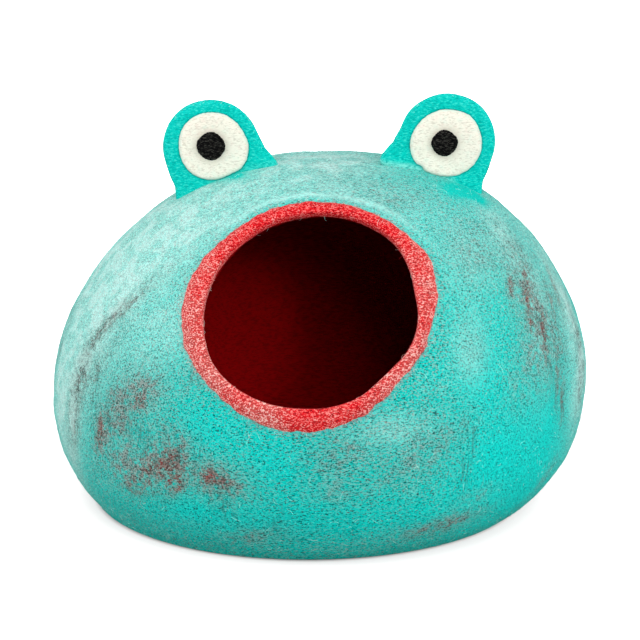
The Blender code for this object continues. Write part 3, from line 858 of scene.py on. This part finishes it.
for row in EYES:
    side, mirror = row[:2]
    white_x, white_z, white_radius, pupil_x, pupil_z, pupil_radius = row[4:]
    front = FLAP_PLANE - FLAP_THICKNESS / 2 - SEAT
    bm = turned_disc(DISC_SECTION, 144)
    smudge_layer = bm.verts.layers.float.new("smudge")
    rim_layer = bm.verts.layers.float.new("rim")
    for vert in bm.verts:
        share = hypot(vert.co.x, vert.co.z)
        angle = atan2(vert.co.z, vert.co.x)
        outline = (read_round(WHITE_OUTLINE, angle, 1 if mirror > 0 else 2)
                   + waver(angle, WHITE_WAVER, mirror))
        reach = share * white_radius * outline
        place = Vector((white_x + reach * cos(angle), 0, white_z + reach * sin(angle)))
        beside = hypot(place.x - pupil_x, place.z - pupil_z) - pupil_radius
        vert[smudge_layer] = exp(-(max(0.0, beside) / SMUDGE_WIDTH) ** 2)
        vert[rim_layer] = max(0.0, share - RIM_SHARE) / (1 - RIM_SHARE)
        y = front + vert.co.y * WHITE_THICKNESS
        if vert.co.y < -0.5:
            y += sum(noise.noise(place / wave) * deep for wave, deep in WHITE_DENTS)
        # it lies on the flap's foot where the foot spreads
        ground = dome_height(place.x, FLAP_PLANE - FLAP_THICKNESS / 2, min(place.z, DOME_TOP))
        y -= FLAP_THICKNESS / 2 * foot_spread(place.z - ground)
        vert.co = Vector((place.x, y, place.z))
    bmesh.ops.recalc_face_normals(bm, faces=bm.faces)
    white = finish_piece("white_" + side, bm, (white_felt,),
                         ("eye_white_" + side,))

# ------------------------------------------------------------------- the pupils
# Balls of black wool needled flat onto the whites. Each push of the needle left a corner in
# the outline and a dimple in the face.

PUPIL_THICKNESS = 0.0022
PUPIL_WAVER = ((7, 3, 0.030), (16, 3, 0.045))     # waves, seed and height of its outline
PUPIL_DENTS = (0.004, 0.0005)                     # wavelength and depth of its dimples
PUPIL_OUTLINE = (
    # angle, radius against the pupil's
    (0, 1.02), (40, 0.97), (85, 1.03), (130, 0.98), (170, 1.02), (230, 0.97), (275, 1.02),
    (320, 0.98),
)

# Black wool, needled: charcoal fibres and lighter dimple edges keep it from being flat black
black_felt = new_felt("needled_black_wool", 0.015, "#c8c8c0")
fibres = strokes(black_felt, add_node(black_felt, "TexCoord", {}, "Object"), 6)
surface(black_felt, lay_wool(black_felt, "#050506", ("#3c3a36", (fibres, 0.60, 0.74))),
        fibres, 0.9, 0.0015)

for row in EYES:
    side, mirror = row[:2]
    pupil_x, pupil_z, pupil_radius = row[7:]
    front = FLAP_PLANE - FLAP_THICKNESS / 2 - WHITE_THICKNESS - 2 * SEAT
    bm = turned_disc(DISC_SECTION, 72)
    for vert in bm.verts:
        share = hypot(vert.co.x, vert.co.z)
        angle = atan2(vert.co.z, vert.co.x)
        outline = (read_round(PUPIL_OUTLINE, angle if mirror > 0 else pi - angle, 1)
                   + waver(angle, PUPIL_WAVER, mirror))
        reach = share * pupil_radius * outline
        place = Vector((pupil_x + reach * cos(angle), 0, pupil_z + reach * sin(angle)))
        y = front + vert.co.y * PUPIL_THICKNESS
        if vert.co.y < -0.5:
            y += noise.noise(place / PUPIL_DENTS[0]) * PUPIL_DENTS[1]
        vert.co = Vector((place.x, y, place.z))
    bmesh.ops.recalc_face_normals(bm, faces=bm.faces)
    pupil = finish_piece("pupil_disc_" + side, bm, (black_felt,),
                         ("pupil_" + side,))

# ------------------------------------------------------------- the loose fibres
# Wool ends that felting left free: they lie over the skin, stand off it as a nap, and stick
# out of the mouth's edge. Drawn about 0.16 mm thick, for wool's 0.03 mm wouldn't show.

dice = random.Random(7)
LYING, STANDING = 2600, 10500     # how many fibres are tried on the vessel
ROOTED = 0.0003           # how deep a fibre's end is in the felt
ROUND_MOUTH, ACROSS_EDGE, ROUND_FLAP = 2600, 190, 900
skin = BVHTree.FromObject(vessel, bpy.context.evaluated_depsgraph_get())


def wisps(name, routes, thickness, colours):
    """Fibres as thin tubes along (points, colour's place) routes, joined in one piece."""
    curve = bpy.data.curves.new(name, "CURVE")
    curve.dimensions = "3D"
    curve.bevel_depth = thickness / 2
    curve.bevel_resolution = 0
    for material in colours:
        curve.materials.append(material)
    for points, place in routes:
        spline = curve.splines.new("POLY")
        spline.points.add(len(points) - 1)
        spline.material_index = place
        for i, (point, spot) in enumerate(zip(spline.points, points)):
            point.co = (*spot, 1)
            point.radius = 1.0 if 0 < i < len(points) - 1 else 0.35
    holder = bpy.data.objects.new(name + "_route", curve)
    scene.collection.objects.link(holder)
    graph = bpy.context.evaluated_depsgraph_get()
    bm = bmesh.new()
    bm.from_mesh(bpy.data.meshes.new_from_object(holder.evaluated_get(graph)))
    bpy.data.objects.remove(holder)
    return finish_piece(name, bm, colours)


def skin_spots(count, chosen):
    """Places on the vessel's outside, with its normal and its wool there."""
    mesh = vessel.data
    largest = max(face.area for face in mesh.polygons)
    read = {key: mesh.attributes[key].data for key in ("rust", "grey", "pale_wool_and_sheen", "blush")}
    spots = []
    while len(spots) < count:
        face = mesh.polygons[dice.randrange(len(mesh.polygons))]
        if dice.random() * largest > face.area or not chosen(face.center):
            continue
        first = min(range(len(face.vertices)), key=lambda i: face.vertices[i])
        corners = [mesh.vertices[i].co
                   for i in (*face.vertices[first:], *face.vertices[:first])]
        a, b = dice.random(), dice.random()
        spot = corners[0].lerp(corners[1], a).lerp(corners[-1].lerp(corners[-2], a), b)
        wool = {key: values[min(face.vertices)].value for key, values in read.items()}
        spots.append((spot, face.normal.copy(), wool))
    return spots


def lying(spot, normal, length, steps, lift):
    """A fibre's route over the skin, wandering as it goes."""
    heading = normal.cross(direction()).normalized()
    bend = dice.gauss(0, 0.30)
    points = [spot - normal * ROOTED]
    for step in range(1, steps + 1):
        heading = (Matrix.Rotation(bend + dice.gauss(0, 0.22), 3, normal) @ heading).normalized()
        spot = spot + heading * length / steps
        near, turned, _, _ = skin.find_nearest(spot)
        if near is None:
            break
        rise = lift * sin(pi * step / steps)
        points.append(near + turned * (rise - (ROOTED if step == steps else 0)))
        spot, normal = near, turned
        heading = (heading - normal * heading.dot(normal)).normalized()
    return points


def standing(spot, normal, length, steps):
    """A fibre's route off the skin, leaning over towards its end."""
    side = normal.cross(direction()).normalized()
    points = [spot - normal * 0.0004]
    lean = dice.uniform(0.7, 1.3)
    for step in range(1, steps + 1):
        lean += dice.uniform(0.1, 0.5)
        spot = spot + (normal * cos(lean) + side * sin(lean)) * length / steps
        points.append(spot)
    return points


FIBRE_COLOURS = []
for name, dark, light in (
    ("loose_turquoise_wool", "#0aa8a0", "#1cd0c6"),
    ("loose_pale_wool", "#a4e4dc", "#e0faf6"),
    ("loose_deep_teal_wool", "#04605e", "#0a8884"),
    ("loose_rust_wool", "#5a2c2a", "#96706a"),
    ("loose_red_wool", "#a01420", "#e03c44"),
    ("loose_pink_wool", "#d89c94", "#f8dcd4"),
):
    # one fibre colour: matt, uneven every 6 mm along the fibre, as dyed wool is
    fibre_wool = new_felt(name, 0.1, "#ffffff", 0.7)
    uneven = add_node(fibre_wool, "TexNoise", {
        "Scale": 1 / 0.006, "Roughness": 0.6,
        "Vector": add_node(fibre_wool, "TexCoord", {}, "Object")})
    surface(fibre_wool, lay_wool(fibre_wool, dark, (light, (uneven, 0.35, 0.65))))
    FIBRE_COLOURS.append(fibre_wool)
TURQUOISE, LIGHT, TEAL, RUSTY, RED, PINK = range(len(FIBRE_COLOURS))


def pick(wool):
    """A fibre's colour place for the wool at a spot."""
    throw = dice.random()
    if throw < 0.75 * wool["blush"]:
        return dice.choice((RED, PINK))
    if throw < 0.9 * max(wool["rust"], 0.5 * wool["grey"]):
        return RUSTY
    # more pale fibres where pale wool lies, and where sheen is painted
    if throw > 1 - 0.30 - 0.45 * wool["pale_wool_and_sheen"]:
        return LIGHT
    return dice.choice((TURQUOISE, TURQUOISE, TEAL))


def away_from_mouth(place):
    """Whether a place is outside the mouth's binding and above the base's edge."""
    angle, reach, front = from_mouth(place)
    return place.z > 0.004 and (front < MOUTH_BACK or reach > binding_edge(angle))


def direction():
    """A random direction, as a vector of no set length."""
    return Vector((dice.gauss(0, 1), dice.gauss(0, 1), dice.gauss(0, 1)))


routes = [(lying(spot, normal, dice.uniform(0.004, 0.012), 6, 0.0005), pick(wool))
          for spot, normal, wool in skin_spots(LYING, away_from_mouth)]
wisps("surface_fibres", routes, 0.00015, FIBRE_COLOURS)

routes = [(standing(spot, normal, dice.uniform(0.0012, 0.0034), 2), pick(wool))
          for spot, normal, wool in skin_spots(STANDING, away_from_mouth)
          if spot.z > 0.006]
wisps("nap_fibres", routes, 0.00016, FIBRE_COLOURS)

routes = []
for _ in range(ROUND_MOUTH):
    angle = dice.uniform(0, 2 * pi)
    share = dice.uniform(-0.1, 1.25)
    radius = (read_round(MOUTH_EDGE, angle, 1) + BINDING_INSET
              + share * binding_width(angle))
    place = form_point(angle, radius, 12)
    bulge = 0.0034 * max(0.0, 1 - (2 * share - 0.9) ** 2)
    inward = (MOUTH - place).normalized()
    normal = (MOUTH_AXIS + inward * (0.9 if share < 0.05 else 0.0)).normalized()
    hue = dice.choice((RED, RED, PINK) if share < 1.0 else (RED, PINK, TURQUOISE))
    routes.append((standing(place + MOUTH_AXIS * bulge, normal, dice.uniform(0.002, 0.006), 3),
                   hue))
# long ends that cross the opening's edge
for _ in range(ACROSS_EDGE):
    angle = dice.uniform(0, 2 * pi)
    radius = read_round(MOUTH_EDGE, angle, 1) + 0.0012
    place = form_point(angle, radius, 12) - MOUTH_AXIS * dice.uniform(0.0, 0.006)
    inward = (MOUTH - place).normalized()
    routes.append((standing(place, (inward + MOUTH_AXIS * 0.4).normalized(),
                            dice.uniform(0.004, 0.012), 6),
                   dice.choice((RED, PINK, PINK, LIGHT))))
wisps("mouth_fibres", routes, 0.00018, FIBRE_COLOURS)

routes = []
for row in EYES:
    mirror, flap_x, flap_z = row[1:4]
    for _ in range(ROUND_FLAP):
        angle = dice.uniform(0, 2 * pi)
        turned = angle if mirror > 0 else pi - angle
        reach = FLAP_HEAD * read_round(FLAP_OUTLINE, turned, 1) * dice.choice((1.0, 0.99, 0.96))
        out = Vector((cos(angle), 0, sin(angle)))
        side = dice.uniform(-0.8, 0.8)
        spot = Vector((flap_x, FLAP_PLANE, flap_z)) + out * reach
        spot.y += side * FLAP_THICKNESS * 0.5
        if inside_form(spot):
            continue
        normal = (out + Vector((0, side, 0))).normalized()
        routes.append((standing(spot - out * 0.0006, normal, dice.uniform(0.0012, 0.0035), 3),
                       dice.choice((TURQUOISE, TURQUOISE, TURQUOISE, LIGHT))))
wisps("flap_fibres", routes, 0.00016, FIBRE_COLOURS)

# ------------------------------------------------------- floor, light and camera
# A white studio floor under a wide soft light from above, with softboxes at the front left, at
# the front right and low at both sides. Two lamps light the cabin, which is dark in the shot.

bm = bmesh.new()
bmesh.ops.create_grid(bm, x_segments=1, y_segments=1, size=15)
mesh = bpy.data.meshes.new("floor")
bm.to_mesh(mesh)
bm.free()
floor = bpy.data.objects.new("floor", mesh)
scene.collection.objects.link(floor)
# White paper as the camera sees it; it throws back less light than it shows, as a floor that
# was bleached out after the shot does
paper = bpy.data.materials.new("matt_white_paper_with_painted_glow")
paper.use_nodes = True
shader = paper.node_tree.nodes["Principled BSDF"]
shader.inputs["Roughness"].default_value = 1.0
shader.inputs["Specular IOR Level"].default_value = 0.0
shader.inputs["Emission Color"].default_value = (1, 1, 1, 1)
seen = add_node(paper, "LightPath", {}, "Is Camera Ray")
surface(paper, lay_wool(paper, "#c6c6c6", ("#aa9e9e", seen)))
# painted light: for the camera it glows, whitening outward from the cave's oval base, close to it
# and then far off, so only a narrow shadow is left by the base
oval = add_node(paper, "Mapping", {"Location": (-PROFILE[0][2], 0, 0),
                                   "Scale": (1, 1 / DEPTH_RATIO, 1),
                                   "Vector": add_node(paper, "TexCoord", {}, "Object")})
away = add_node(paper, "VectorMath", {"operation": "LENGTH", 0: oval}, "Value")
glow = total(paper, *((amount(paper, (away, start, end)), most) for start, end, most in (
    (0.1990, 0.2070, 0.55), (0.2000, 0.2360, 0.43), (0.30, 1.4, 1.0))))
glow = add_node(paper, "Math", {"operation": "MULTIPLY", 0: glow, 1: seen})
paper.node_tree.links.new(glow, shader.inputs["Emission Strength"])
mesh.materials.append(paper)

# The room is brighter behind the cave than before it, and white where the camera sees it
world = bpy.data.worlds.new("studio")
scene.world = world
world.use_nodes = True
back = world.node_tree.nodes["Background"]
back.inputs["Color"].default_value = (1, 1, 1, 1)
axes = add_node(world, "SeparateXYZ", {0: add_node(world, "TexCoord", {}, "Generated")}, "Y")
room = add_node(world, "Math", {"operation": "MAXIMUM",
                                0: amount(world, (axes, -1.0, 1.0, 0.10, 0.50)),
                                1: add_node(world, "LightPath", {}, "Is Camera Ray")})
world.node_tree.links.new(room, back.inputs["Strength"])


def hang(name, kind, place, aim, settings):
    """Hang a lamp at a place, turned to what it is aimed at."""
    lamp = bpy.data.lights.new(name, kind)
    for key, value in settings.items():
        setattr(lamp, key, value)
    holder = bpy.data.objects.new(name, lamp)
    holder.location = place
    holder.rotation_euler = (Vector(aim) - Vector(place)).to_track_quat("-Z", "Y").to_euler()
    scene.collection.objects.link(holder)
    return holder


SOFTBOXES = (
    # name, place, aim, size, power
    ("overhead", (-0.2, 0.1, 2.4), (0.0, 0.0, 0.2), 2.0, 21),
    ("key", (-1.4, -1.3, 2.1), (-0.02, -0.05, 0.20), 1.1, 20),
    ("fill", (0.85, -1.95, 1.05), (0.0, 0.0, 0.18), 0.9, 20),
    ("left", (-2.1, -0.5, 0.75), (0.0, 0.0, 0.14), 1.0, 20),
    ("right", (2.1, -0.7, 0.75), (0.0, 0.0, 0.14), 1.0, 20),
)
for name, place, aim, size, power in SOFTBOXES:
    hang(name, "AREA", place, aim, {"size": size, "energy": power})
# A narrow spot from beside the camera, through the mouth onto the cabin's left back wall
hang("cabin_spot", "SPOT", (0.42, -1.72, 0.78), MOUTH + Vector((0.008, 0, -0.010)),
     {"energy": 240, "spot_size": radians(5.9), "spot_blend": 0.6, "shadow_soft_size": 0.30})
# and a weak soft lamp under the dome, for the light that falls onto the low back wall
hang("cabin_glow", "AREA", (0.04, 0.02, 0.27), (-0.075, 0.15, 0.05),
     {"size": 0.05, "spread": radians(70), "energy": 0.042}).visible_camera = False

ELEVATION = radians(15)
DISTANCE = 2.0
AIM_HEIGHT = 0.1665
camera = bpy.data.cameras.new("camera")
camera.lens = 119.25
camera.sensor_width = 36
view_from = bpy.data.objects.new("camera", camera)
view_from.location = (0, -DISTANCE * cos(ELEVATION), AIM_HEIGHT + DISTANCE * sin(ELEVATION))
view_from.rotation_euler = (pi / 2 - ELEVATION, 0, 0)
scene.collection.objects.link(view_from)
scene.camera = view_from
scene.view_settings.view_transform = "Standard"
